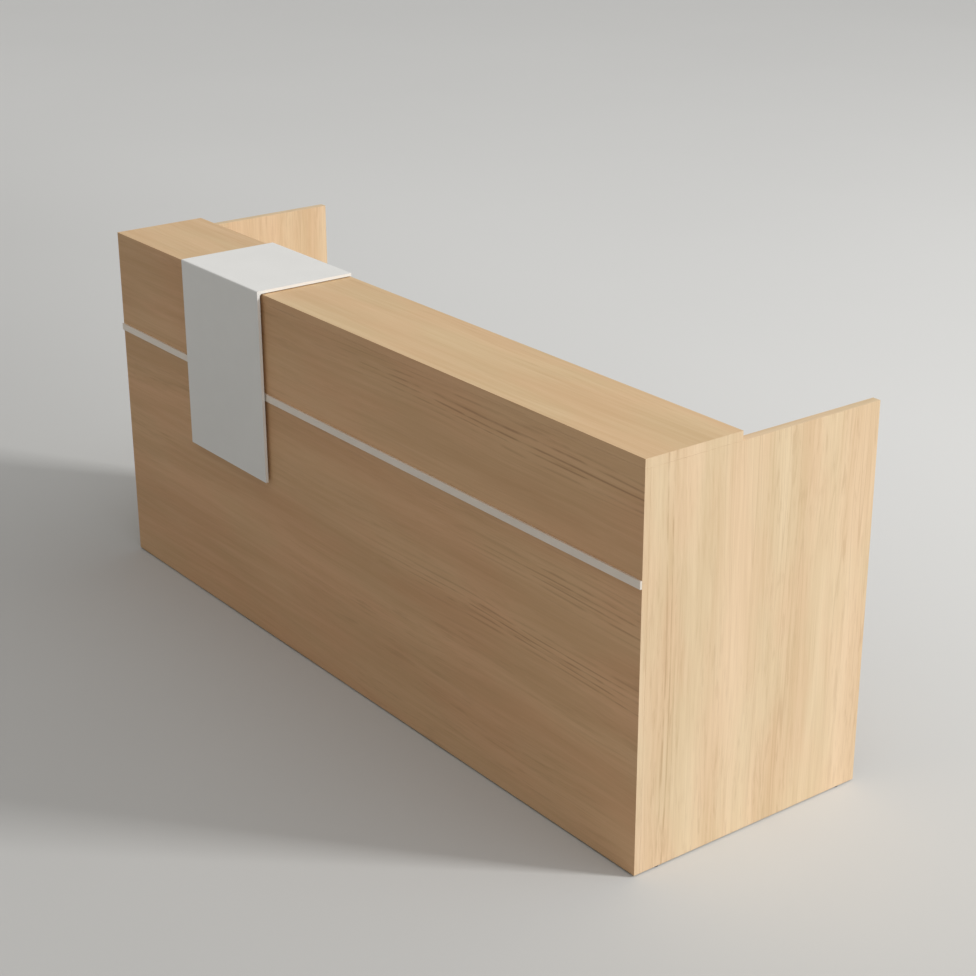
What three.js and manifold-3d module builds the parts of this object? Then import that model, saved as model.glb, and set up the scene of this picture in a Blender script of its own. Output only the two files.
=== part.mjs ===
// Reception desk: a tall board front with a counter for visitors, board sides, a pale accent plate
// folded over the counter, and behind it a seated worktop with cable ports, steel cable trays and
// a hanging drawer pedestal on telescopic runners.
//
// Sizes are in millimetres. X runs along the front, to the right of a visitor facing the desk,
// Y runs from the visitor to the staff side and Z is up. Pieces are placed with the outer face of
// the front panels at y = 0 and the floor at z = 0, and the desk is then centred on its footprint.
import * as THREE from "three";
import { mergeVertices } from "three/addons/utils/BufferGeometryUtils.js";
import Module from "manifold-3d";

const wasm = await Module();
wasm.setup();

// Overall sizes
const deskWidth = 2600;
const deskDepth = 787; // front face to the rear edges of the side panels
const deskHeight = 1123; // floor to the upper face of the counter
const counterDepth = 310;
const counterThickness = 25;
const sideThickness = 25;
const frontThickness = 18;
const floorGap = 5; // under the boards, filled by the feet
const fit = 0.3; // gap between pieces that meet

// Trim strip: a T section with its head in front of the panels and its web between them
const stripDrop = 318; // its centre, below the upper face of the counter
const stripHeight = 22;
const stripProud = 6;
const stripWeb = 4;
const stripWebSetback = 4; // from the back of the front panels
const stripWebEndGap = 30; // the web and its rebate stop short of the ends of the desk

// Accent plate, its stand-offs on the front and its tapes on the counter
const plateWidth = 450;
const plateInset = 460; // from the left end of the desk
const plateDrop = 600; // upper face to lower edge
const plateThickness = 9;
const plateBend = 4; // outer radius of the fold
const plateCove = 8; // inner radius of the fold
const plateStripGap = 4; // between the plate and the trim strip that passes behind it
const plateTopGap = 3;
const standoffInset = 60; // from the side edges of the plate
const standoffDiameter = 24;
const standoffStud = 8;
const standoffStudSetback = 6; // from the back of the front panels
const tapeWidth = 30;
const tapeInset = 40; // from the side edges of the plate
const tapeEndGap = 20; // from the front and rear edges of the counter

// Levelling feet
const footPad = 22;
const footChamfer = 1.5;
const footStem = 8;
const footStemLength = 30;
const footInset = 60; // from the ends of the board it carries

// Worktop and the boards around it
const worktopHeight = 740; // floor to its upper face
const worktopThickness = 25;
const worktopSetback = 12; // from the rear edges of the side panels
const gableThickness = 25;
const gableDepth = 460;
const uprightThickness = 25;
const uprightSetback = 20; // from the rear edge of the counter

// Steel angles under the worktop and the counter
const angleLeg = 30;
const angleSheet = 2;
const railEndGap = 60; // from the boards at the ends of a rail
const bracketLeg = 50;
const bracketLength = 60;

// Cable ports in the worktop: a flanged frame with a hinged lid
const portLength = 158; // clear opening
const portWidth = 78;
const portWall = 3;
const portFlange = 11;
const portFlangeThickness = 3;
const portCutPlay = 0.5;
const portSetback = 232; // centre, behind the front panels
const portLedge = 4; // under the free edge of the lid
const lidThickness = 4;
const lidPlay = 0.4;
const lidPinCover = 0.8; // lid above and below a hinge pin
const lidPinWall = 0.8; // frame beyond the end of a hinge pin
const lidNotchLength = 50;
const lidNotchDepth = 14;

// Cable trays under the ports
const cableTrayWidth = 110;
const cableTrayHeight = 70;
const cableTrayFlange = 20;
const cableTraySheet = 1.5;
const cableTrayEndGap = 120; // from the boards at the ends of its bay

// Pedestal carcass
const pedestalWidth = 430;
const pedestalHeight = 480;
const pedestalRearGap = 184; // behind the front panels, for cables
const pedestalSetback = 45; // drawer faces from the rear edges of the side panels
const carcassThickness = 18;
const carcassBackThickness = 8;

// Drawers: a board front, a folded steel box and a bow handle each
const drawerFrontThickness = 18;
const drawerFrontGap = 1.5; // to the front edges of the carcass
const drawerReveal = 1.5; // inside the outer edges of the carcass
const drawerGap = 3; // between the two fronts
const upperFrontHeight = 155;
const boxSheet = 2;
const boxRearGap = 30;
const boxHeadroom = 13.5; // under the carcass top
const boxFootroom = 13.5; // over the carcass bottom
const handleLength = 138;
const handleReach = 28;
const handleBar = 10;
const handleCorner = 8;

// Telescopic runners: three nested channels on each side of a drawer
const runnerHeight = 45;
const runnerSheet = 1.2;
const runnerPlay = 0.4;
const runnerRace = 7.3; // between the webs of the middle and drawer members
const runnerLift = 40; // centre, above the drawer box's underside
const runnerSetback = 3; // from the front edges of the carcass
const runnerRearGap = 39;

// Cam lock in the upper drawer front
const lockInset = 60; // from the right edge of the front
const lockDrop = 18; // below the upper edge of the drawer box
const lockBarrel = 16;
const lockFlange = 22;
const lockFlangeThickness = 2;
const lockTail = 8;
const lockTailReach = 2; // behind the cam
const keySlotLength = 8;
const keySlotWidth = 1.6;
const keySlotDepth = 5;
const camWidth = 14;
const camThickness = 3;
const camTipGap = 2; // under the strike's upper leg, with the cam turned up
const strikeSheet = 2;
const strikeGap = 2; // over the drawer box
const strikeWidth = 30;
const strikeDepth = 24;

// Smoothness of round shapes, and how close two corners are before they are one
const roundSides = 24;
const bendSteps = 6;
const mergeTolerance = 1e-4;

// Levels and places worked out from the sizes above
const counterUnderside = deskHeight - counterThickness;
const worktopUnderside = worktopHeight - worktopThickness;
const innerHalfWidth = deskWidth / 2 - sideThickness;
const behindFront = frontThickness + fit;
const stripCentreHeight = deskHeight - stripDrop;
const plateFrontGap = stripProud + plateStripGap;
const plateFace = -plateFrontGap - plateThickness;
const plateTop = deskHeight + plateTopGap + plateThickness;
const plateLeft = plateInset - deskWidth / 2;
const pedestalLeft = innerHalfWidth - fit - pedestalWidth;
const pedestalBottom = worktopUnderside - fit - pedestalHeight;
const carcassFront = deskDepth - pedestalSetback - drawerFrontThickness - drawerFrontGap;
const pedestalDepth = carcassFront - behindFront - pedestalRearGap;
const gableLeft = (pedestalLeft - innerHalfWidth - gableThickness) / 2;
const gableRight = gableLeft + gableThickness;
const leftBay = [-innerHalfWidth, gableLeft];
const rightBay = [gableRight, pedestalLeft];
const portCentreDepth = frontThickness + portSetback;

// Finishes
function finish(color, roughness, metalness) {
  return new THREE.MeshStandardMaterial({ color, roughness, metalness });
}

const wood = finish(0xdcb88a, 0.55, 0);
const lacquer = finish(0xdcdad4, 0.35, 0);
const aluminium = finish(0xc9c6c0, 0.35, 0.9);
const paleSteel = finish(0xd2d2ce, 0.5, 0.3);
const zinc = finish(0xb4b8bb, 0.35, 0.9);
const darkPlastic = finish(0x2b2c2e, 0.6, 0);
const foam = finish(0x3a3a3c, 0.9, 0);

// Solids and the cuts made in them
function solidOf(geometry) {
  const bare = geometry.clone();
  bare.deleteAttribute("normal");
  bare.deleteAttribute("uv");
  const merged = mergeVertices(bare, mergeTolerance);
  const vertProperties = merged.getAttribute("position").array;
  const triVerts = new Uint32Array(merged.getIndex().array);
  return new wasm.Manifold(new wasm.Mesh({ numProp: 3, vertProperties, triVerts }));
}

function geometryOf(solid) {
  const mesh = solid.getMesh();
  const geometry = new THREE.BufferGeometry();
  geometry.setAttribute("position", new THREE.BufferAttribute(mesh.vertProperties, 3));
  geometry.setIndex(new THREE.BufferAttribute(mesh.triVerts, 1));
  geometry.computeVertexNormals();
  return geometry;
}

function join(...geometries) {
  return geometryOf(geometries.map(solidOf).reduce((whole, next) => whole.add(next)));
}

function cut(geometry, ...tools) {
  return geometryOf(tools.map(solidOf).reduce((whole, tool) => whole.subtract(tool), solidOf(geometry)));
}

// A box between two corners, each given as [low, high] along X, Y and Z
function block([x0, x1], [y0, y1], [z0, z1]) {
  const geometry = new THREE.BoxGeometry(x1 - x0, y1 - y0, z1 - z0);
  return geometry.translate((x0 + x1) / 2, (y0 + y1) / 2, (z0 + z1) / 2);
}

// A board with its lowest corner at the origin
function board(width, depth, height) {
  return block([0, width], [0, depth], [0, height]);
}

// A round bar or hole centred on the origin, along X, Y or Z
function roundBar(diameter, length, axis) {
  const bar = new THREE.CylinderGeometry(diameter / 2, diameter / 2, length, roundSides);
  if (axis === "x") bar.rotateZ(Math.PI / 2);
  if (axis === "z") bar.rotateX(Math.PI / 2);
  return bar;
}

function outline(points) {
  return new THREE.Shape(points.map(([u, v]) => new THREE.Vector2(u, v)));
}

function extrude(shape, length) {
  return new THREE.ExtrudeGeometry(shape, {
    depth: length,
    bevelEnabled: false,
    curveSegments: bendSteps,
  });
}

// A section drawn in (y, z), from x = 0 to x = length
function alongX(shape, length) {
  const turn = new THREE.Matrix4().makeBasis(
    new THREE.Vector3(0, 1, 0),
    new THREE.Vector3(0, 0, 1),
    new THREE.Vector3(1, 0, 0),
  );
  return extrude(shape, length).applyMatrix4(turn);
}

// A section drawn in (x, z), from y = 0 to y = length
function alongY(shape, length) {
  return extrude(shape, length).rotateX(Math.PI / 2).translate(0, length, 0);
}

// A profile of [radius, height] points turned round the Y axis
function turned(points) {
  const profile = points.map(([radius, height]) => new THREE.Vector2(radius, height));
  return new THREE.LatheGeometry(profile, roundSides);
}

function add(group, name, material, geometry, [x, y, z]) {
  const mesh = new THREE.Mesh(geometry, material);
  mesh.name = name;
  mesh.position.set(x, y, z);
  group.add(mesh);
}

const desk = new THREE.Group();
desk.position.y = -(deskDepth + plateFace) / 2;

// Boards that stand on two feet each: the side panels and the gable
function foot() {
  const padTop = floorGap - fit;
  const geometry = turned([
    [0, 0],
    [footPad / 2 - footChamfer, 0],
    [footPad / 2, footChamfer],
    [footPad / 2, padTop],
    [footStem / 2, padTop],
    [footStem / 2, padTop + footStemLength],
    [0, padTop + footStemLength],
  ]);
  return geometry.rotateX(Math.PI / 2);
}

function standingBoard(name, thickness, depth, top, left) {
  const feet = { front: footInset, rear: depth - footInset };
  const holeDepth = footStemLength;
  const holes = Object.values(feet).map((y) =>
    roundBar(footStem + 2 * fit, 2 * holeDepth, "z").translate(thickness / 2, y, 0),
  );
  const geometry = cut(board(thickness, depth, top - fit - floorGap), ...holes);
  add(desk, name, wood, geometry, [left, behindFront, floorGap]);
  for (const [end, y] of Object.entries(feet)) {
    add(desk, `foot_${name}_${end}`, darkPlastic, foot(), [left + thickness / 2, behindFront + y, 0]);
  }
}

const sideDepth = deskDepth - behindFront;
standingBoard("side_panel_left", sideThickness, sideDepth, counterUnderside, -deskWidth / 2);
standingBoard("side_panel_right", sideThickness, sideDepth, counterUnderside, innerHalfWidth);
standingBoard("gable", gableThickness, gableDepth, worktopUnderside, gableLeft);

// Counter and front: two panels with the trim strip between them
add(desk, "counter_top", wood, board(deskWidth, counterDepth, counterThickness), [
  -deskWidth / 2,
  0,
  counterUnderside,
]);

const upperStandoffHeight = (stripCentreHeight + stripHeight / 2 + counterUnderside) / 2;
const lowerStandoffHeight = (stripCentreHeight - stripHeight / 2 + plateTop - plateDrop) / 2;
const standoffStudLength = frontThickness - standoffStudSetback;
const standoffPlaces = {
  left: plateLeft + standoffInset,
  right: plateLeft + plateWidth - standoffInset,
};

function frontPanel(name, bottom, top, standoffHeight, ...rebates) {
  const studHoles = Object.values(standoffPlaces).map((x) =>
    roundBar(standoffStud + 2 * fit, 2 * (standoffStudLength + fit), "y").translate(
      x + deskWidth / 2,
      0,
      standoffHeight - bottom,
    ),
  );
  const geometry = cut(board(deskWidth, frontThickness, top - bottom), ...studHoles, ...rebates);
  add(desk, name, wood, geometry, [-deskWidth / 2, 0, bottom]);
}

// The web sits in a rebate along the upper edge of the lower panel
const stripSlot = stripWeb / 2 + fit;
const upperPanelBottom = stripCentreHeight + stripSlot;
const lowerPanelTop = upperPanelBottom - fit;
const rebateBottom = stripCentreHeight - stripSlot - floorGap;
const rebate = block(
  [stripWebEndGap, deskWidth - stripWebEndGap],
  [-frontThickness, 2 * frontThickness],
  [rebateBottom, rebateBottom + 2 * stripHeight],
);
frontPanel("front_panel_lower", floorGap, lowerPanelTop, lowerStandoffHeight, rebate);
frontPanel("front_panel_upper", upperPanelBottom, counterUnderside - fit, upperStandoffHeight);

function stripPiece() {
  const webStart = stripWebEndGap + fit;
  const bar = block([0, deskWidth], [-stripProud, -fit], [-stripHeight / 2, stripHeight / 2]);
  const web = block(
    [webStart, deskWidth - webStart],
    [-stripProud / 2, frontThickness - stripWebSetback],
    [-stripWeb / 2, stripWeb / 2],
  );
  return join(bar, web);
}

add(desk, "trim_strip", aluminium, stripPiece(), [-deskWidth / 2, 0, stripCentreHeight]);

// Accent plate with what holds it off the front and the counter
function platePiece() {
  const leaf = counterDepth - plateFace;
  const coveCentre = plateThickness + plateCove;
  const section = outline([
    [0, -plateDrop],
    [plateThickness, -plateDrop],
    [plateThickness, -coveCentre],
  ]);
  section.absarc(coveCentre, -coveCentre, plateCove, Math.PI, Math.PI / 2, true);
  section.lineTo(leaf, -plateThickness);
  section.lineTo(leaf, 0);
  section.lineTo(plateBend, 0);
  section.absarc(plateBend, -plateBend, plateBend, Math.PI / 2, Math.PI, false);
  return alongX(section, plateWidth);
}

add(desk, "accent_plate", lacquer, platePiece(), [plateLeft, plateFace, plateTop]);

const standoffShape = turned([
  [0, fit - plateFrontGap],
  [standoffDiameter / 2, fit - plateFrontGap],
  [standoffDiameter / 2, -fit],
  [standoffStud / 2, -fit],
  [standoffStud / 2, standoffStudLength],
  [0, standoffStudLength],
]);
for (const [side, x] of Object.entries(standoffPlaces)) {
  add(desk, `accent_standoff_upper_${side}`, darkPlastic, standoffShape, [x, 0, upperStandoffHeight]);
  add(desk, `accent_standoff_lower_${side}`, darkPlastic, standoffShape, [x, 0, lowerStandoffHeight]);
}

const tapePlaces = {
  left: plateLeft + tapeInset,
  right: plateLeft + plateWidth - tapeInset - tapeWidth,
};
for (const [side, x] of Object.entries(tapePlaces)) {
  const tape = board(tapeWidth, counterDepth - 2 * tapeEndGap, plateTopGap - 2 * fit);
  add(desk, `accent_tape_${side}`, foam, tape, [x, tapeEndGap, deskHeight + fit]);
}

// Worktop with its two cable ports, and the uprights between it and the counter
const bays = { left: leftBay, right: rightBay };
const bayCentre = ([low, high]) => (low + high) / 2;
const worktopLeft = -innerHalfWidth + fit;

function worktopPiece() {
  const halfLength = portLength / 2 + portWall + portCutPlay;
  const halfWidth = portWidth / 2 + portWall + portCutPlay;
  const portHoles = Object.values(bays).map((bay) => {
    const x = bayCentre(bay) - worktopLeft;
    const y = portCentreDepth - behindFront;
    return block(
      [x - halfLength, x + halfLength],
      [y - halfWidth, y + halfWidth],
      [-worktopThickness, 2 * worktopThickness],
    );
  });
  const depth = deskDepth - worktopSetback - behindFront;
  return cut(board(2 * (innerHalfWidth - fit), depth, worktopThickness), ...portHoles);
}

add(desk, "worktop", wood, worktopPiece(), [worktopLeft, behindFront, worktopUnderside]);

const uprightDepth = counterDepth - uprightSetback - behindFront;
const uprightHeight = counterUnderside - worktopHeight - 2 * fit;
const uprightPlaces = { middle: gableLeft, right: pedestalLeft };
for (const [side, x] of Object.entries(uprightPlaces)) {
  const upright = board(uprightThickness, uprightDepth, uprightHeight);
  add(desk, `upright_${side}`, wood, upright, [x, behindFront, worktopHeight + fit]);
}

const lidAxisDepth = lidPlay + lidThickness / 2 - portWidth / 2;
const portTop = fit + portFlangeThickness;
const lidAxisHeight = portTop - lidThickness / 2;
const lidPin = lidThickness - 2 * lidPinCover;
const lidPinReach = portWall - lidPinWall;

function portFrame() {
  const x = portLength / 2;
  const y = portWidth / 2;
  const flange = block(
    [-x - portFlange, x + portFlange],
    [-y - portFlange, y + portFlange],
    [fit, portTop],
  );
  const sleeve = block(
    [-x - portWall, x + portWall],
    [-y - portWall, y + portWall],
    [-worktopThickness, portTop],
  );
  const lidSeat = block([-x, x], [-y, y], [portTop - lidThickness - fit, 2 * portTop]);
  const throat = block([-x, x], [-y, y - portLedge], [-2 * worktopThickness, portTop]);
  const notch = block([-lidNotchLength / 2, lidNotchLength / 2], [0, y], [-2 * worktopThickness, portTop]);
  const pinHole = roundBar(lidPin + 2 * fit, portLength + 2 * lidPinReach, "x");
  pinHole.translate(0, lidAxisDepth, lidAxisHeight);
  return cut(join(flange, sleeve), lidSeat, throat, notch, pinHole);
}

// The lid lies along +Y from its hinge axis, with a round hinge edge, two pins and a cable notch
function portLid() {
  const length = portLength - 2 * lidPlay;
  const radius = lidThickness / 2;
  const reach = portWidth - 2 * lidPlay - radius;
  const section = new THREE.Shape();
  section.moveTo(0, -radius);
  section.lineTo(reach, -radius);
  section.lineTo(reach, radius);
  section.lineTo(0, radius);
  section.absarc(0, 0, radius, Math.PI / 2, (3 * Math.PI) / 2, false);
  const leaf = alongX(section, length).translate(-length / 2, 0, 0);
  const pins = roundBar(lidPin, length + 2 * lidPinReach, "x");
  const notch = block(
    [-lidNotchLength / 2, lidNotchLength / 2],
    [reach - lidNotchDepth, 2 * reach],
    [-lidThickness, lidThickness],
  );
  return cut(join(leaf, pins), notch);
}

// Cable trays hang from the worktop under the ports
function cableTray(length) {
  const half = cableTrayWidth / 2;
  const wall = half - cableTraySheet;
  const rim = half + cableTrayFlange;
  const section = outline([
    [-half, -cableTrayHeight],
    [half, -cableTrayHeight],
    [half, -cableTraySheet],
    [rim, -cableTraySheet],
    [rim, 0],
    [wall, 0],
    [wall, cableTraySheet - cableTrayHeight],
    [-wall, cableTraySheet - cableTrayHeight],
    [-wall, 0],
    [-rim, 0],
    [-rim, -cableTraySheet],
    [-half, -cableTraySheet],
  ]);
  return alongX(section, length);
}

// An angle under a board: one leg down against y = 0 and one leg back along +Y
function angleSection(leg) {
  return outline([
    [0, 0],
    [0, -leg],
    [angleSheet, -leg],
    [angleSheet, -angleSheet],
    [leg, -angleSheet],
    [leg, 0],
  ]);
}

for (const [side, bay] of Object.entries(bays)) {
  const [low, high] = bay;
  const centre = bayCentre(bay);
  const port = new THREE.Group();
  port.position.set(centre, portCentreDepth, worktopHeight);
  add(port, `port_frame_${side}`, aluminium, portFrame(), [0, 0, 0]);
  add(port, `port_lid_${side}`, aluminium, portLid(), [0, lidAxisDepth, lidAxisHeight]);
  desk.add(port);

  const trayLength = high - low - 2 * cableTrayEndGap;
  add(desk, `cable_tray_${side}`, paleSteel, cableTray(trayLength), [
    low + cableTrayEndGap,
    portCentreDepth,
    worktopUnderside - fit,
  ]);

  const railLength = high - low - 2 * railEndGap;
  add(desk, `rail_front_${side}`, zinc, alongX(angleSection(angleLeg), railLength), [
    low + railEndGap,
    behindFront,
    worktopUnderside - fit,
  ]);

  add(desk, `counter_bracket_${side}`, zinc, alongX(angleSection(bracketLeg), bracketLength), [
    centre - bracketLength / 2,
    behindFront,
    counterUnderside - fit,
  ]);
}

const sideRail = new THREE.Group();
sideRail.position.set(-innerHalfWidth + fit, behindFront + sideDepth - railEndGap, worktopUnderside - fit);
sideRail.rotation.z = -Math.PI / 2;
add(sideRail, "rail_side_left", zinc, alongX(angleSection(angleLeg), sideDepth - 2 * railEndGap), [0, 0, 0]);
desk.add(sideRail);

// Pedestal carcass, with its left rear lower corner at the group's origin
const pedestal = new THREE.Group();
pedestal.position.set(pedestalLeft, carcassFront - pedestalDepth, pedestalBottom);
desk.add(pedestal);

const carcassInside = pedestalWidth - 2 * carcassThickness;
const insetBoard = carcassInside - 2 * fit;
const insetLeft = carcassThickness + fit;
const insetRear = carcassBackThickness + fit;
const carcassTopUnderside = pedestalHeight - carcassThickness;

const carcassSide = board(carcassThickness, pedestalDepth, pedestalHeight);
add(pedestal, "pedestal_side_left", wood, carcassSide, [0, 0, 0]);
add(pedestal, "pedestal_side_right", wood, carcassSide, [pedestalWidth - carcassThickness, 0, 0]);

const carcassBack = board(insetBoard, carcassBackThickness, pedestalHeight);
add(pedestal, "pedestal_back", wood, carcassBack, [insetLeft, 0, 0]);

const carcassShelf = board(insetBoard, pedestalDepth - insetRear, carcassThickness);
add(pedestal, "pedestal_top", wood, carcassShelf, [insetLeft, insetRear, carcassTopUnderside]);
add(pedestal, "pedestal_bottom", wood, carcassShelf, [insetLeft, insetRear, 0]);

// Cam lock: its place on the pedestal, and what the drawer front and box are bored for
const drawerFrontRear = pedestalDepth + drawerFrontGap;
const boxFront = drawerFrontRear - fit;
const boxInsideFront = boxFront - boxSheet;
const upperBoxTop = carcassTopUnderside - boxHeadroom;
const lock = {
  x: pedestalWidth - drawerReveal - lockInset,
  z: upperBoxTop - lockDrop,
};
const lockBore = roundBar(lockBarrel + 2 * fit, 2 * (drawerFrontThickness + boxSheet), "y");

// A drawer front with its box behind it, a handle on it and two runners beside it
const runnerSpace = 2 * fit + 3 * runnerSheet + runnerPlay + runnerRace;
const frontWidth = pedestalWidth - 2 * drawerReveal;
const boxWidth = carcassInside - 2 * runnerSpace;
const boxDepth = boxFront - carcassBackThickness - boxRearGap;
const boxLift = carcassThickness - drawerReveal + boxFootroom;
const boxDrop = carcassThickness - drawerReveal + boxHeadroom;
const runnerLength = pedestalDepth - runnerSetback - runnerRearGap - carcassBackThickness;

function drawerBox(height) {
  const hollow = block(
    [boxSheet, boxWidth - boxSheet],
    [boxSheet, boxDepth - boxSheet],
    [boxSheet, 2 * height],
  );
  return cut(board(boxWidth, boxDepth, height), hollow);
}

function handle() {
  const half = handleLength / 2;
  const shoulder = handleReach - handleCorner;
  const bow = new THREE.Shape();
  bow.moveTo(-half, 0);
  bow.lineTo(-half, shoulder);
  bow.absarc(handleCorner - half, shoulder, handleCorner, Math.PI, Math.PI / 2, true);
  bow.lineTo(half - handleCorner, handleReach);
  bow.absarc(half - handleCorner, shoulder, handleCorner, Math.PI / 2, 0, true);
  bow.lineTo(half, 0);
  bow.lineTo(half - handleBar, 0);
  bow.lineTo(half - handleBar, handleReach - handleBar);
  bow.lineTo(handleBar - half, handleReach - handleBar);
  bow.lineTo(handleBar - half, 0);
  return extrude(bow, handleBar).translate(0, 0, -handleBar / 2);
}

// A channel along Y with its web at x = web, open towards x = lip
function channel(web, lip, half) {
  const inside = web + Math.sign(lip - web) * runnerSheet;
  const section = outline([
    [web, -half],
    [lip, -half],
    [lip, runnerSheet - half],
    [inside, runnerSheet - half],
    [inside, half - runnerSheet],
    [lip, half - runnerSheet],
    [lip, half],
    [web, half],
  ]);
  return alongY(section, runnerLength);
}

// Each member nests in the one before it. Distances are from the carcass side, which lies on the
// left of a left runner and on the right of a right one.
function addRunner(group, drawer, side, wall, inwards) {
  const step = runnerSheet + runnerPlay;
  const cabinetWeb = fit;
  const middleWeb = cabinetWeb + step;
  const drawerWeb = runnerSpace - fit;
  const openEnd = drawerWeb - step;
  const members = {
    cabinet: [cabinetWeb, openEnd, runnerHeight / 2],
    middle: [middleWeb, openEnd, runnerHeight / 2 - step],
    drawer: [drawerWeb, middleWeb + step, runnerHeight / 2 - 2 * step],
  };
  for (const [member, [web, lip, half]] of Object.entries(members)) {
    const geometry = channel(inwards * web, inwards * lip, half);
    add(group, `runner_${drawer}_${side}_${member}`, zinc, geometry, [wall, 0, 0]);
  }
}

function addDrawer(name, frontBottom, frontHeight, isLocked) {
  const boxBottom = frontBottom + boxLift;
  const frontBoard = board(frontWidth, drawerFrontThickness, frontHeight);
  const box = drawerBox(frontHeight - boxLift - boxDrop);
  const frontPlace = [drawerReveal, drawerFrontRear, frontBottom];
  const boxPlace = [(pedestalWidth - boxWidth) / 2, boxFront - boxDepth, boxBottom];
  const bored = (geometry, [x, y, z]) => {
    const bore = lockBore.clone().translate(lock.x - x, drawerFrontRear - y, lock.z - z);
    return isLocked ? cut(geometry, bore) : geometry;
  };
  add(pedestal, `drawer_front_${name}`, wood, bored(frontBoard, frontPlace), frontPlace);
  add(pedestal, `drawer_box_${name}`, paleSteel, bored(box, boxPlace), boxPlace);
  add(pedestal, `handle_${name}`, aluminium, handle(), [
    pedestalWidth / 2,
    drawerFrontRear + drawerFrontThickness + fit,
    frontBottom + frontHeight / 2,
  ]);

  const runners = new THREE.Group();
  runners.position.set(0, carcassBackThickness + runnerRearGap, boxBottom + runnerLift);
  pedestal.add(runners);
  addRunner(runners, name, "left", carcassThickness, 1);
  addRunner(runners, name, "right", pedestalWidth - carcassThickness, -1);
}

const upperFrontBottom = pedestalHeight - drawerReveal - upperFrontHeight;
addDrawer("upper", upperFrontBottom, upperFrontHeight, true);
addDrawer("lower", drawerReveal, upperFrontBottom - drawerGap - drawerReveal, false);

// Lock barrel through the front and the box, its cam inside the box, and the strike under the top
const camFront = boxInsideFront - fit;
const lockFace = drawerFrontRear + drawerFrontThickness + fit;

function barrel() {
  const shape = turned([
    [0, camFront - camThickness - lockTailReach],
    [lockTail / 2, camFront - camThickness - lockTailReach],
    [lockTail / 2, camFront + fit],
    [lockBarrel / 2, camFront + fit],
    [lockBarrel / 2, lockFace],
    [lockFlange / 2, lockFace],
    [lockFlange / 2, lockFace + lockFlangeThickness],
    [0, lockFace + lockFlangeThickness],
  ]);
  const slotEnd = lockFace + lockFlangeThickness;
  const keySlot = block(
    [-keySlotWidth / 2, keySlotWidth / 2],
    [slotEnd - keySlotDepth, 2 * slotEnd],
    [-keySlotLength / 2, keySlotLength / 2],
  );
  return cut(shape, keySlot);
}

// The cam points along -X while unlocked
function cam() {
  const reach = lockDrop + boxHeadroom - fit - strikeSheet - camTipGap;
  const arm = block([-reach, 0], [-camThickness, 0], [-camWidth / 2, camWidth / 2]);
  const eye = roundBar(camWidth, camThickness, "y").translate(0, -camThickness / 2, 0);
  return cut(join(arm, eye), roundBar(lockTail + 2 * fit, 4 * camThickness, "y"));
}

function strike() {
  const drop = boxHeadroom - fit - strikeGap;
  const section = outline([
    [0, 0],
    [0, -drop],
    [-strikeSheet, -drop],
    [-strikeSheet, -strikeSheet],
    [-strikeDepth, -strikeSheet],
    [-strikeDepth, 0],
  ]);
  return alongX(section, strikeWidth);
}

add(pedestal, "lock_barrel", zinc, barrel(), [lock.x, 0, lock.z]);
add(pedestal, "lock_cam", zinc, cam(), [lock.x, camFront, lock.z]);
add(pedestal, "lock_strike", zinc, strike(), [
  lock.x - strikeWidth / 2,
  camFront + fit + strikeSheet,
  carcassTopUnderside - fit,
]);

export default desk;
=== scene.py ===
"""Looks of the reception desk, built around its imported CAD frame. Metres, in the frame's own axes."""

import math

import bmesh
import bpy
from mathutils import Matrix, Vector


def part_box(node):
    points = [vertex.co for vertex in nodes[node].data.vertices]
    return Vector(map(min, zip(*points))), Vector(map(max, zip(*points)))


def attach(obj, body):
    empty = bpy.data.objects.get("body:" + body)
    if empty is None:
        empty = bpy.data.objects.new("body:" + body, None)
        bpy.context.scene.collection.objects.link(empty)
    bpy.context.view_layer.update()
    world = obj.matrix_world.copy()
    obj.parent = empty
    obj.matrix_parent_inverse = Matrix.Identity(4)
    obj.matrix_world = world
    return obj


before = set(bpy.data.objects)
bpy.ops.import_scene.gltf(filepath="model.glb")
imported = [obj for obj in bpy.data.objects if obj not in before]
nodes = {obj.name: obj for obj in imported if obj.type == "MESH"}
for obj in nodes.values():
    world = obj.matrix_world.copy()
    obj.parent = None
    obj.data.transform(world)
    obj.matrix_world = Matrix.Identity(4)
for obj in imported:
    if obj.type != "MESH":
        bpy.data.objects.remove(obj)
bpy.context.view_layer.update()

X, Y, Z = 0, 1, 2

# Nodes by finish
front_boards = ["front_panel_lower", "front_panel_upper"]
top_boards = ["counter_top", "worktop"]
upright_boards = ["side_panel_left", "side_panel_right", "gable", "upright_middle", "upright_right"]
carcass_boards = [
    "pedestal_side_left",
    "pedestal_side_right",
    "pedestal_back",
    "pedestal_top",
    "pedestal_bottom",
]
drawer_fronts = ["drawer_front_upper", "drawer_front_lower"]
drawer_boxes = ["drawer_box_upper", "drawer_box_lower"]
cable_trays = ["cable_tray_left", "cable_tray_right"]
front_rails = ["rail_front_left", "rail_front_right"]
side_rail = "rail_side_left"
brackets = ["counter_bracket_left", "counter_bracket_right"]
port_pieces = ["port_frame_left", "port_frame_right", "port_lid_left", "port_lid_right"]
handles = ["handle_upper", "handle_lower"]
lock_pieces = ["lock_barrel", "lock_cam"]
runners = [name for name in nodes if name.startswith("runner_")]
feet = [name for name in nodes if name.startswith("foot_")]
standoffs = [name for name in nodes if name.startswith("accent_standoff_")]
tapes = ["accent_tape_left", "accent_tape_right"]
angles = front_rails + [side_rail] + brackets


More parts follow.
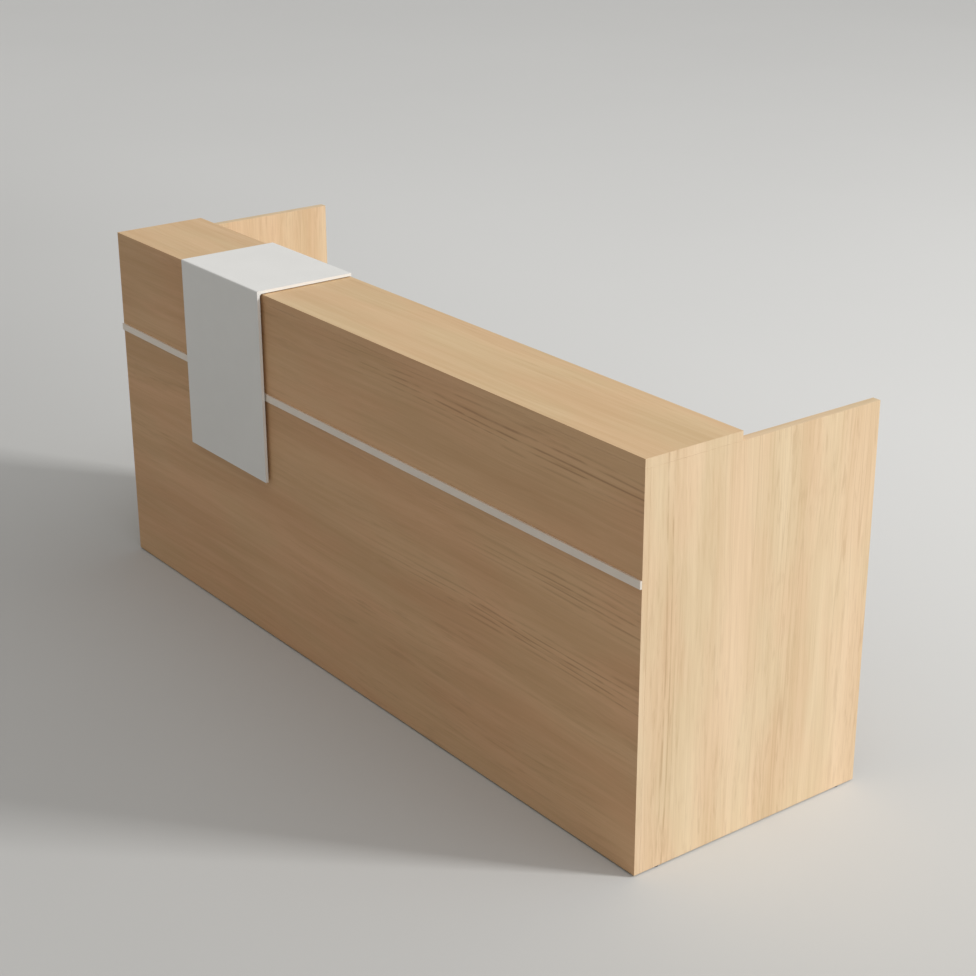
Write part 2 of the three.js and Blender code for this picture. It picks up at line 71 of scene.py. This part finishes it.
class Tree:
    """A material's node tree with short ways to add and join nodes."""

    def __init__(self, name):
        self.material = bpy.data.materials.new(name)
        self.material.use_nodes = True
        self.tree = self.material.node_tree
        self.tree.nodes.clear()
        self.output = self.tree.nodes.new("ShaderNodeOutputMaterial")
        self.shader = self.tree.nodes.new("ShaderNodeBsdfPrincipled")
        self.tree.links.new(self.shader.outputs["BSDF"], self.output.inputs["Surface"])

    def put(self, value, socket):
        if isinstance(value, bpy.types.NodeSocket):
            self.tree.links.new(value, socket)
        else:
            socket.default_value = value

    def node(self, kind, inputs=(), **settings):
        made = self.tree.nodes.new(kind)
        for key, value in settings.items():
            setattr(made, key, value)
        for key, value in dict(inputs).items():
            self.put(value, made.inputs[key])
        return made

    def math(self, operation, first, second=0.0):
        return self.node("ShaderNodeMath", {0: first, 1: second}, operation=operation).outputs[0]

    def plus(self, first, second):
        return self.math("ADD", first, second)

    def minus(self, first, second):
        return self.math("SUBTRACT", first, second)

    def times(self, first, second):
        return self.math("MULTIPLY", first, second)

    def larger(self, first, second):
        return self.math("MAXIMUM", first, second)

    def apart(self, first, second):
        return self.math("ABSOLUTE", self.minus(first, second))

    def blended(self, first, second, share):
        return self.plus(self.times(first, share), self.times(second, 1.0 - share))

    def vector(self, x, y, z):
        return self.node("ShaderNodeCombineXYZ", {"X": x, "Y": y, "Z": z}).outputs[0]

    def split(self, vector):
        return self.node("ShaderNodeSeparateXYZ", {"Vector": vector}).outputs

    def scaled(self, vector, scale):
        made = self.node("ShaderNodeVectorMath", {0: vector, 1: scale}, operation="MULTIPLY")
        return made.outputs["Vector"]

    def moved(self, vector, offset):
        made = self.node("ShaderNodeVectorMath", {0: vector, 1: offset}, operation="ADD")
        return made.outputs["Vector"]

    def noise(self, vector, scale, detail=2.0, roughness=0.5):
        inputs = {
            "Vector": self.scaled(vector, scale),
            "Scale": 1.0,
            "Detail": detail,
            "Roughness": roughness,
        }
        return self.node("ShaderNodeTexNoise", inputs).outputs["Fac"]

    def ramp(self, value, low, high, start=0.0, end=1.0):
        inputs = {"Value": value, "From Min": low, "From Max": high, "To Min": start, "To Max": end}
        return self.node("ShaderNodeMapRange", inputs, interpolation_type="SMOOTHSTEP").outputs["Result"]

    def around(self, value, middle, half):
        return self.ramp(value, low=0.3, high=0.7, start=middle - half, end=middle + half)

    def mix(self, factor, first, second, blend="MIX"):
        made = self.node("ShaderNodeMix", data_type="RGBA", blend_type=blend)
        self.put(factor, made.inputs[0])
        self.put(first, made.inputs[6])
        self.put(second, made.inputs[7])
        return made.outputs[2]

    def mix_value(self, factor, first, second):
        made = self.node("ShaderNodeMix", data_type="FLOAT")
        self.put(factor, made.inputs[0])
        self.put(first, made.inputs[2])
        self.put(second, made.inputs[3])
        return made.outputs[0]

    def mix_vector(self, factor, first, second):
        made = self.node("ShaderNodeMix", data_type="VECTOR")
        self.put(factor, made.inputs[0])
        self.put(first, made.inputs[4])
        self.put(second, made.inputs[5])
        return made.outputs[1]

    def coordinates(self):
        return self.node("ShaderNodeTexCoord").outputs

    def bump(self, height, strength, distance):
        inputs = {"Height": height, "Strength": strength, "Distance": distance}
        return self.node("ShaderNodeBump", inputs).outputs["Normal"]

    def finish(self, color, roughness, normal=None, metallic=0.0, ior=1.45, coat=0.0, coat_roughness=0.1):
        self.put(color, self.shader.inputs["Base Color"])
        self.put(roughness, self.shader.inputs["Roughness"])
        self.shader.inputs["Metallic"].default_value = metallic
        self.shader.inputs["IOR"].default_value = ior
        self.shader.inputs["Coat Weight"].default_value = coat
        self.shader.inputs["Coat Roughness"].default_value = coat_roughness
        if normal is not None:
            self.put(normal, self.shader.inputs["Normal"])
        return self.material


def rgb(red, green, blue):
    return (red, green, blue, 1.0)


def even(size):
    return (size, size, size)


# Board decors: their tones, the shares of their lines, hairs and dashes, how short the dashes are,
# and from which level of the noise they gather
# The decors are copies of one board decor, toned to how light falls: the front decor is darker and redder,
# painted shade; the upright decor is paler, painted light; the top decor lies between them.
front_decor_painted_shade = {
    "light": rgb(0.730, 0.458, 0.252),
    "dark": rgb(0.608, 0.362, 0.186),
    "mark": rgb(0.340, 0.172, 0.082),
    "lines": 0.08,
    "hairs": 0.10,
    "dashes": 0.34,
    "shortness": 4.5,
    "cluster": 0.42,
}
top_decor = {
    "light": rgb(0.748, 0.538, 0.318),
    "dark": rgb(0.632, 0.428, 0.232),
    "mark": rgb(0.480, 0.295, 0.145),
    "lines": 0.10,
    "hairs": 0.05,
    "dashes": 0.36,
    "shortness": 4.5,
    "cluster": 0.42,
}
upright_decor_painted_light = {
    "light": rgb(0.805, 0.624, 0.419),
    "dark": rgb(0.656, 0.474, 0.282),
    "mark": rgb(0.440, 0.270, 0.138),
    "lines": 0.30,
    "hairs": 0.14,
    "dashes": 0.38,
    "shortness": 8.0,
    "cluster": 0.28,
}
rosy = rgb(1.012, 0.985, 0.975)
golden = rgb(0.988, 1.012, 1.0)
front_seed = 0.0
upright_seed = 4.0
grain_order = {X: (X, Y, Z), Y: (Y, X, Z), Z: (Z, Y, X)}

# A face looks along an axis where its normal leans this far that way
face_lean = 0.7

# Layers of a decor: noise per metre along and across the grain, its detail and its roughness
layers = {
    "drift": (1.1, 5.0, 1.0, 0.5),
    "bands": (0.6, 10.0, 3.0, 0.5),
    "streaks": (2.4, 70.0, 3.0, 0.55),
    "fibres": (5.0, 480.0, 2.0, 0.5),
    "rings": (0.33, 30.0, 0.0, 0.5),
    "line_zone": (0.7, 9.0, 1.0, 0.5),
    "hairs": (2.4, 240.0, 1.0, 0.5),
    "cluster": (0.9, 5.5, 1.0, 0.5),
    "flames": (1.0, 66.0, 3.0, 0.6),
    "flecks": (1.3, 140.0, 2.0, 0.5),
    "sway": (0.9, 16.0, 1.0, 0.5),
    "broken": (8.0, 60.0, 2.0, 0.5),
    "patches": (2.2, 7.0, 2.0, 0.5),
}

# From which level a layer begins to show, and where it shows in full
shows = {
    "lines": (0.40, 0.5),
    "line_zone": (0.42, 0.62),
    "hairs": (0.54, 0.74),
    "flames": (0.53, 0.70),
    "flecks": (0.54, 0.72),
    "rows": (0.24, 0.5),
    "broken": (0.34, 0.58),
    "patches": (0.35, 0.65),
}
drift_reach = 0.05
rings_per_noise = 7.0
cluster_full = 0.62
flame_share = 0.75
fleck_share = 0.55
band_share = 0.55
streak_share = 0.28
fibre_share = 0.17
mark_gloss = 0.3
pore_fibres = 0.6
pore_marks = 0.4
pore_strength = 0.12
pore_depth = 0.0006
dull_wood = 0.64
glossy_wood = 0.54

# Bunches of dark lines on the front: height amid the desk, fall per metre, and where they begin
figure_bunches = [(1.060, 0.030, -0.40), (0.685, 0.0, 0.20), (0.510, 0.015, -0.20)]
figure_half = 0.075
figure_fade = 1.1
figure_share = 0.7
figure_rows = 54.0
figure_sway = 3.2
figure_flames = 0.4

# One bunch on the right side, a little behind the front edge
side_bunch = -0.295
side_half = 0.045
side_share = 0.9


def wood(name, grain, decor, seed, spread=0.18):
    """Board decor along the grain: bands, streaks and fibres under lines, hairs, dashes and bunches of lines.

    Faces to the visitor take the front decor, whose darker, redder tones are painted shade, and the bands on
    the boards' ends take the upright one, whose paler tones are painted light.
    """
    t = Tree(name)
    coordinates = t.coordinates()
    place = t.split(coordinates["Object"])
    facing = t.split(coordinates["Normal"])
    is_end = t.math("GREATER_THAN", t.math("ABSOLUTE", facing[grain]), face_lean)
    is_front_painted_shade = t.math("LESS_THAN", facing[Y], -face_lean)
    is_right = t.math("GREATER_THAN", facing[X], face_lean)

    def laid(way, start):
        spot = t.vector(*[place[axis] for axis in grain_order[way]])
        return t.moved(spot, (start, 2.0 * start, 3.0 * start))

    # Tones by the way a face looks: faces to the visitor take the front decor's painted shade, and the
    # boards' ends take the upright decor's painted light.
    def pick(part):
        chosen = t.mix(is_front_painted_shade, decor[part], front_decor_painted_shade[part])
        return t.mix(is_end, chosen, upright_decor_painted_light[part])

    def share(part):
        chosen = t.mix_value(is_front_painted_shade, decor[part], front_decor_painted_shade[part])
        return t.mix_value(is_end, chosen, upright_decor_painted_light[part])

    def layer(part, spot):
        along, across, detail, roughness = layers[part]
        return t.noise(spot, (along, across, across), detail, roughness)

    def shown(part, level):
        begin, full = shows[part]
        return t.ramp(level, begin, full)

    end_grain = Y if grain == Z else Z
    straight = t.mix_vector(is_front_painted_shade, laid(grain, seed), laid(grain, front_seed))
    straight = t.mix_vector(is_end, straight, laid(end_grain, upright_seed))
    drift = t.times(t.minus(layer("drift", straight), 0.5), drift_reach)
    warped = t.moved(straight, t.vector(0.0, drift, drift))

    bands = layer("bands", warped)
    streaks = layer("streaks", warped)
    fibres = layer("fibres", warped)
    ring_step = t.math("FRACT", t.times(layer("rings", warped), rings_per_noise))
    lines = shown("lines", t.apart(ring_step, 0.5))
    line_zone = shown("line_zone", layer("line_zone", straight))
    lines = t.times(t.times(lines, line_zone), share("lines"))
    hairs = t.times(shown("hairs", layer("hairs", warped)), share("hairs"))

    cluster = t.ramp(layer("cluster", straight), share("cluster"), cluster_full)
    short = t.scaled(warped, t.vector(share("shortness"), 1.0, 1.0))
    flames = shown("flames", layer("flames", short))
    flecks = shown("flecks", layer("flecks", short))
    dashes = t.larger(t.times(flames, flame_share), t.times(flecks, fleck_share))
    dashes = t.times(t.times(dashes, cluster), share("dashes"))

    # The front's bunches fade out to the left, and the right side's runs all the way up
    bunch = 0.0
    for height, fall, begin in figure_bunches:
        level = t.minus(height, t.times(place[X], fall))
        near = t.ramp(t.apart(t.plus(place[Z], drift), level), figure_half, 0.0)
        fade = t.ramp(place[X], begin, begin + figure_fade)
        bunch = t.larger(t.times(near, fade), bunch)
    side = t.ramp(t.apart(t.plus(place[Y], drift), side_bunch), side_half, 0.0, 0.0, side_share)
    bunch = t.mix_value(is_right, t.times(bunch, is_front_painted_shade), side)
    across = t.mix_value(is_right, place[Z], place[Y])
    sway = t.times(layer("sway", warped), figure_sway)
    row_step = t.math("FRACT", t.plus(t.times(across, figure_rows), sway))
    rows = shown("rows", t.apart(row_step, 0.5))
    broken = shown("broken", layer("broken", warped))
    figure = t.larger(t.times(rows, broken), t.times(flames, figure_flames))
    figure = t.times(t.times(figure, bunch), figure_share)
    marks = t.larger(t.larger(t.larger(lines, hairs), dashes), figure)

    body = t.plus(t.times(bands, band_share), t.times(streaks, streak_share))
    body = t.plus(body, t.times(fibres, fibre_share))
    body = t.ramp(body, 0.5 - spread, 0.5 + spread)
    color = t.mix(marks, t.mix(body, pick("dark"), pick("light")), pick("mark"))
    patches = shown("patches", layer("patches", straight))
    color = t.mix(1.0, color, t.mix(patches, rosy, golden), "MULTIPLY")
    gloss = t.minus(streaks, t.times(marks, mark_gloss))
    roughness = t.ramp(gloss, low=0.2, high=0.8, start=dull_wood, end=glossy_wood)
    pores = t.minus(t.times(fibres, pore_fibres), t.times(marks, pore_marks))
    normal = t.bump(pores, pore_strength, pore_depth)
    return t.finish(color, roughness, normal, ior=1.42)


def lacquer(name, color, shade, rough, grain_size, bump, coat=0.0):
    """Satin lacquer or powder coat: soft orange peel and a faint mottle."""
    mottle_scale = 9.0
    mottle_share = 0.7
    rough_half = 0.05
    peel_depth = 0.0005
    t = Tree(name)
    place = t.coordinates()["Object"]
    mottle = t.noise(place, even(mottle_scale), detail=4.0, roughness=0.6)
    peel = t.noise(place, even(grain_size))
    tint = t.mix(t.around(t.blended(mottle, peel, mottle_share), 0.5, 0.5), shade, color)
    roughness = t.ramp(mottle, 0.25, 0.75, rough - rough_half, rough + rough_half)
    normal = t.bump(peel, bump, peel_depth)
    return t.finish(tint, roughness, normal, ior=1.5, coat=coat, coat_roughness=0.2)


def metal(name, color, shade, rough, along, hair=900.0, bump=0.06, metallic=1.0):
    """Drawn metal: hairlines along one axis, over a faint cloud."""
    drawn_scale = 6.0
    cloud_scale = 14.0
    hairline_share = 0.6
    rough_half = 0.07
    hairline_depth = 0.0003
    t = Tree(name)
    place = t.coordinates()["Object"]
    stretch = list(even(hair))
    stretch[along] = drawn_scale
    hairlines = t.noise(place, stretch, detail=3.0, roughness=0.6)
    cloud = t.noise(place, even(cloud_scale), detail=3.0)
    blend = t.blended(hairlines, cloud, hairline_share)
    tint = t.mix(t.around(blend, 0.5, 0.5), shade, color)
    normal = t.bump(hairlines, bump, hairline_depth)
    return t.finish(tint, t.around(blend, rough, rough_half), normal, metallic=metallic)


def plated(name, color, shade, rough, spangle):
    """Plated steel with the spangle of a zinc bath."""
    scratch_scale = (700.0, 15.0, 700.0)
    scratch_strength = 0.05
    scratch_depth = 0.0003
    cell_share = 0.6
    rough_half = 0.08
    t = Tree(name)
    place = t.coordinates()["Object"]
    cells = t.node("ShaderNodeTexVoronoi", {"Vector": t.scaled(place, even(spangle)), "Scale": 1.0})
    cell = t.split(cells.outputs["Color"])[0]
    scratch = t.noise(place, scratch_scale)
    blend = t.blended(cell, scratch, cell_share)
    roughness = t.ramp(blend, 0.1, 0.9, rough - rough_half, rough + rough_half)
    normal = t.bump(scratch, scratch_strength, scratch_depth)
    return t.finish(t.mix(blend, shade, color), roughness, normal, metallic=1.0)


def moulded(name, color, shade, rough, grain_size, bump):
    """Moulded plastic or foam: a fine eroded grain."""
    dust_scale = 40.0
    grain_share = 0.6
    rough_half = 0.06
    grain_depth = 0.0006
    t = Tree(name)
    place = t.coordinates()["Object"]
    grain = t.noise(place, even(grain_size), detail=3.0, roughness=0.7)
    dust = t.noise(place, even(dust_scale))
    tint = t.mix(t.around(t.blended(grain, dust, grain_share), 0.5, 0.5), shade, color)
    normal = t.bump(grain, bump, grain_depth)
    return t.finish(tint, t.around(dust, rough, rough_half), normal)


wood_front = wood("wood_front", X, top_decor, seed=front_seed)
wood_top = wood("wood_top", X, top_decor, seed=21.0, spread=0.22)
wood_upright = wood("wood_upright", Z, upright_decor_painted_light, seed=upright_seed, spread=0.21)
wood_carcass = wood("wood_carcass", Z, upright_decor_painted_light, seed=9.0)
wood_drawer = wood("wood_drawer", X, upright_decor_painted_light, seed=13.0)
accent = lacquer(
    "accent_lacquer",
    color=rgb(0.862, 0.857, 0.826),
    shade=rgb(0.836, 0.831, 0.80),
    rough=0.34,
    grain_size=1100.0,
    bump=0.04,
    coat=0.25,
)
powder = lacquer(
    "powder_coat",
    color=rgb(0.66, 0.66, 0.64),
    shade=rgb(0.60, 0.60, 0.585),
    rough=0.52,
    grain_size=1500.0,
    bump=0.22,
)
trim = metal(
    "trim_anodised",
    color=rgb(0.90, 0.82, 0.725),
    shade=rgb(0.85, 0.77, 0.675),
    rough=0.36,
    along=X,
    metallic=0.45,
)
port = metal("port_anodised", rgb(0.64, 0.64, 0.63), rgb(0.58, 0.58, 0.57), rough=0.46, along=X)
handle_metal = metal("handle_anodised", rgb(0.62, 0.62, 0.61), rgb(0.55, 0.55, 0.54), rough=0.44, along=X)
nickel = metal(
    "nickel_plate",
    color=rgb(0.66, 0.65, 0.63),
    shade=rgb(0.58, 0.57, 0.55),
    rough=0.36,
    along=Z,
    hair=1400.0,
    bump=0.03,
)
zinc = plated("zinc_plate", rgb(0.74, 0.76, 0.78), rgb(0.58, 0.60, 0.63), rough=0.36, spangle=160.0)
dark_plastic = moulded(
    "dark_plastic",
    color=rgb(0.040, 0.040, 0.043),
    shade=rgb(0.026, 0.026, 0.028),
    rough=0.55,
    grain_size=1800.0,
    bump=0.2,
)
wood_cap = moulded(
    "wood_cap",
    color=rgb(0.66, 0.48, 0.29),
    shade=rgb(0.61, 0.435, 0.255),
    rough=0.5,
    grain_size=1600.0,
    bump=0.15,
)
foam = moulded(
    "foam_tape",
    color=rgb(0.060, 0.060, 0.060),
    shade=rgb(0.035, 0.035, 0.035),
    rough=0.85,
    grain_size=900.0,
    bump=0.6,
)

finishes = [
    (front_boards, wood_front),
    (top_boards, wood_top),
    (upright_boards, wood_upright),
    (carcass_boards, wood_carcass),
    (drawer_fronts, wood_drawer),
    (["accent_plate"], accent),
    (["trim_strip"], trim),
    (port_pieces, port),
    (handles, handle_metal),
    (cable_trays + drawer_boxes, powder),
    (runners + angles + ["lock_strike"], zinc),
    (lock_pieces, nickel),
    (feet + standoffs, dark_plastic),
    (tapes, foam),
]
for names, material in finishes:
    for name in names:
        nodes[name].data.materials.clear()
        nodes[name].data.materials.append(material)

# Softened edges: flat facets are merged first, so that only true corners are rounded
facet_angle = 0.01
corner_angle = 0.6
edge_segments = 3
edge_rounds = [
    (front_boards + top_boards + upright_boards + carcass_boards, 0.0004),
    (drawer_fronts, 0.0011),
    (["accent_plate"], 0.0009),
    (["trim_strip"], 0.0006),
    (port_pieces, 0.0005),
    (handles, 0.0014),
    (cable_trays + angles + drawer_boxes, 0.0003),
]
for names, edge_round in edge_rounds:
    for name in names:
        merge = nodes[name].modifiers.new("merge_facets", "DECIMATE")
        merge.decimate_type = "DISSOLVE"
        merge.angle_limit = facet_angle
        soften = nodes[name].modifiers.new("soften_edges", "BEVEL")
        soften.width = edge_round
        soften.segments = edge_segments
        soften.limit_method = "ANGLE"
        soften.angle_limit = corner_angle
        soften.harden_normals = False

# Small fittings: closed turned forms, made of rings of points round their own axis.
# A ring is its radius, its height over the seat and whether it is six-sided, as a key socket is.
ring_points = 24
cap_rings = [
    (0.0085, 0.0, False),
    (0.0085, 0.0006, False),
    (0.0079, 0.0011, False),
    (0.0050, 0.0014, False),
    (0.0018, 0.0015, False),
]
screw_rings = [
    (0.0042, 0.0, False),
    (0.0042, 0.0008, False),
    (0.0038, 0.0018, False),
    (0.0030, 0.0024, False),
    (0.0024, 0.0026, False),
    (0.0021, 0.0025, True),
    (0.0021, 0.0010, True),
]


def turned(build, seat, axis, rings):
    turn = Vector(axis).to_track_quat("Z", "Y").to_matrix()
    half_side = math.pi / 6.0
    loops = []
    for radius, height, six_sided in rings:
        loop = []
        for step in range(ring_points):
            angle = 2.0 * math.pi * step / ring_points
            flat = math.cos(half_side) / math.cos(angle % (2.0 * half_side) - half_side)
            reach = radius * flat if six_sided else radius
            spot = Vector((reach * math.cos(angle), reach * math.sin(angle), height))
            loop.append(build.verts.new(Vector(seat) + turn @ spot))
        loops.append(loop)
    for lower, upper in zip(loops, loops[1:]):
        for step in range(ring_points):
            after = (step + 1) % ring_points
            build.faces.new((lower[step], lower[after], upper[after], upper[step]))
    build.faces.new(reversed(loops[0]))
    build.faces.new(loops[-1])


def fittings(name, rings, seats, material):
    build = bmesh.new()
    for seat, axis in seats:
        turned(build, seat, axis, rings)
    mesh = bpy.data.meshes.new(name)
    build.to_mesh(mesh)
    build.free()
    mesh.shade_smooth()
    mesh.set_sharp_from_angle(angle=corner_angle)
    mesh.materials.append(material)
    piece = bpy.data.objects.new(name, mesh)
    bpy.context.scene.collection.objects.link(piece)
    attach(piece, "desk")


def spaced(low, high, inset, count):
    first = low + inset
    step = (high - low - 2.0 * inset) / (count - 1)
    return [first + step * place for place in range(count)]


# Cover caps of the board fittings, on the inner faces of the uprights, by the edges that they hold
cap_inset = 0.034
cap_end_inset = 0.12
cap_top_inset = 0.08
tall_board = 0.5
capped_boards = [
    ("side_panel_left", 1),
    ("side_panel_right", -1),
    ("gable", 1),
    ("upright_middle", 1),
    ("upright_right", -1),
]
counter_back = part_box("counter_top")[1][Y]
cap_seats = []
for name, way in capped_boards:
    low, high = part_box(name)
    face = high[X] if way > 0 else low[X]
    count = 4 if high[Z] - low[Z] > tall_board else 2
    spots = [(low[Y] + cap_inset, z) for z in spaced(low[Z], high[Z], cap_end_inset, count)]
    back = min(high[Y], counter_back)
    spots += [(y, high[Z] - cap_inset) for y in spaced(low[Y], back, cap_top_inset, 2)]
    cap_seats += [((face, y, z), (way, 0, 0)) for y, z in spots]
fittings("board_caps", cap_rings, cap_seats, wood_cap)

# Screws in the sheet-metal pieces: both legs of the angles, and the flanges of the trays
angle_sheet = 0.002
tray_sheet = 0.0015
leg_inset = 0.011
flange_inset = 0.008
angle_screws = [(name, 0.05, 5) for name in front_rails] + [(name, 0.013, 2) for name in brackets]
side_rail_inset = 0.05
side_rail_screws = 4
tray_end_inset = 0.04
tray_screws = 3
down = (0, 0, -1)
screw_seats = []
for name, end_inset, count in angle_screws:
    low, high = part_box(name)
    for x in spaced(low[X], high[X], end_inset, count):
        screw_seats.append(((x, low[Y] + angle_sheet, low[Z] + leg_inset), (0, 1, 0)))
        screw_seats.append(((x, high[Y] - leg_inset, high[Z] - angle_sheet), down))
low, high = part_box(side_rail)
for y in spaced(low[Y], high[Y], side_rail_inset, side_rail_screws):
    screw_seats.append(((low[X] + angle_sheet, y, low[Z] + leg_inset), (1, 0, 0)))
    screw_seats.append(((high[X] - leg_inset, y, high[Z] - angle_sheet), down))
for name in cable_trays:
    low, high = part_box(name)
    for x in spaced(low[X], high[X], tray_end_inset, tray_screws):
        for y in (low[Y] + flange_inset, high[Y] - flange_inset):
            screw_seats.append(((x, y, high[Z] - tray_sheet), down))
fittings("screws", screw_rings, screw_seats, nickel)

# Stage: one pale floor that runs out of the picture. It is painted darker on the visitor's side, as painted
# shade, and under the key, with painted shade that cancels the key's pool of light, as the key stands nearer
# to the floor there than to the desk.
floor_half = 90.0
floor_near = -1.6
floor_far = 3.0
floor_cloud = 0.5
floor_rough = 0.85
floor_sheen = 0.1
key_foot = (9.1, 7.4, 0.0)
key_foot_near = 1.5
key_foot_far = 11.0
# Painted shade round the key's foot, that cancels the key's pool of light
key_foot_painted_shade = rgb(0.32, 0.32, 0.314)
# The near tones are painted shade, darker than the far ones
dull_near_painted_shade = rgb(0.535, 0.533, 0.518)
dull_far = rgb(0.735, 0.735, 0.72)
pale_near_painted_shade = rgb(0.565, 0.563, 0.548)
pale_far = rgb(0.765, 0.765, 0.75)


def floor_paint_and_painted_shade():
    t = Tree("floor_paint_and_painted_shade")
    place = t.coordinates()["Object"]
    cloud = t.noise(place, even(floor_cloud), detail=3.0)
    # Painted shade on the visitor's side, fading out towards the back
    painted_shade_fade = t.ramp(t.split(place)[Y], floor_near, floor_far)
    color = t.mix(cloud, t.mix(painted_shade_fade, dull_near_painted_shade, dull_far), t.mix(painted_shade_fade, pale_near_painted_shade, pale_far))
    from_foot = t.node("ShaderNodeVectorMath", {0: place, 1: key_foot}, operation="DISTANCE")
    # Clear of the painted shade round the key's foot, by the distance from it
    clear = t.ramp(from_foot.outputs["Value"], key_foot_near, key_foot_far)
    color = t.mix(clear, key_foot_painted_shade, color)
    t.shader.inputs["Specular IOR Level"].default_value = floor_sheen
    return t.finish(color, floor_rough)


floor_mesh = bpy.data.meshes.new("floor")
floor_build = bmesh.new()
corners = [
    (-floor_half, -floor_half, 0.0),
    (floor_half, -floor_half, 0.0),
    (floor_half, floor_half, 0.0),
    (-floor_half, floor_half, 0.0),
]
floor_build.faces.new([floor_build.verts.new(corner) for corner in corners])
floor_build.to_mesh(floor_mesh)
floor_build.free()
floor_mesh.materials.append(floor_paint_and_painted_shade())
floor = bpy.data.objects.new("floor", floor_mesh)
bpy.context.scene.collection.objects.link(floor)

# Key: a square soft light from behind on the right. Its level is in watts per square metre at the desk.
key_target = Vector((0.3, 0.0, 0.6))
key_toward = Vector((0.669, 0.563, 0.485)).normalized()
key_distance = 16.0
key_level = 2.06
key_width = 2.13
key_data = bpy.data.lights.new("key", "AREA")
key_data.shape = "SQUARE"
key_data.size = key_width
key_data.energy = key_level * math.pi * key_distance**2
key = bpy.data.objects.new("key", key_data)
key.location = key_target + key_toward * key_distance
key.rotation_euler = key_toward.to_track_quat("Z", "Y").to_euler()
key.visible_camera = False
bpy.context.scene.collection.objects.link(key)

# Overhead: even light from a wide patch of sky, in watts per square metre
overhead_toward = Vector((0.50, 0.10, 0.86))
overhead_level = 1.12
overhead_spread = 1.4
overhead_data = bpy.data.lights.new("overhead", "SUN")
overhead_data.energy = overhead_level
overhead_data.angle = overhead_spread
overhead = bpy.data.objects.new("overhead", overhead_data)
overhead.rotation_euler = overhead_toward.to_track_quat("Z", "Y").to_euler()
bpy.context.scene.collection.objects.link(overhead)

# The room that shows and is mirrored is paler than the light that it gives
room_color = rgb(1.0, 0.985, 0.965)
room_light = 0.27
room_seen = 0.6
world = bpy.data.worlds.new("studio")
bpy.context.scene.world = world
world.use_nodes = True
room = world.node_tree


def either(first, second):
    made = room.nodes.new("ShaderNodeMath")
    made.operation = "MAXIMUM"
    room.links.new(first, made.inputs[0])
    room.links.new(second, made.inputs[1])
    return made.outputs[0]


ray = room.nodes.new("ShaderNodeLightPath").outputs
seen = either(either(ray["Is Camera Ray"], ray["Is Glossy Ray"]), ray["Is Transmission Ray"])
strength = room.nodes.new("ShaderNodeMapRange")
strength.inputs["To Min"].default_value = room_light
strength.inputs["To Max"].default_value = room_seen
background = room.nodes["Background"]
background.inputs["Color"].default_value = room_color
room.links.new(seen, strength.inputs["Value"])
room.links.new(strength.outputs["Result"], background.inputs["Strength"])

# Camera fitted to the desk's corners
camera_lens = 73.67
camera_place = Vector((4.49628, -3.25202, 2.77074))
camera_turn = Matrix(
    (
        (0.603781, -0.295087, 0.740522),
        (0.797144, 0.227409, -0.559328),
        (-0.003352, 0.928013, 0.372532),
    )
)
camera_data = bpy.data.cameras.new("camera")
camera_data.sensor_fit = "HORIZONTAL"
camera_data.sensor_width = 36.0
camera_data.lens = camera_lens
camera_data.clip_end = 400.0
camera = bpy.data.objects.new("camera", camera_data)
bpy.context.scene.collection.objects.link(camera)
camera.matrix_world = Matrix.Translation(camera_place) @ camera_turn.to_4x4()
bpy.context.scene.camera = camera
bpy.context.scene.view_settings.view_transform = "Standard"
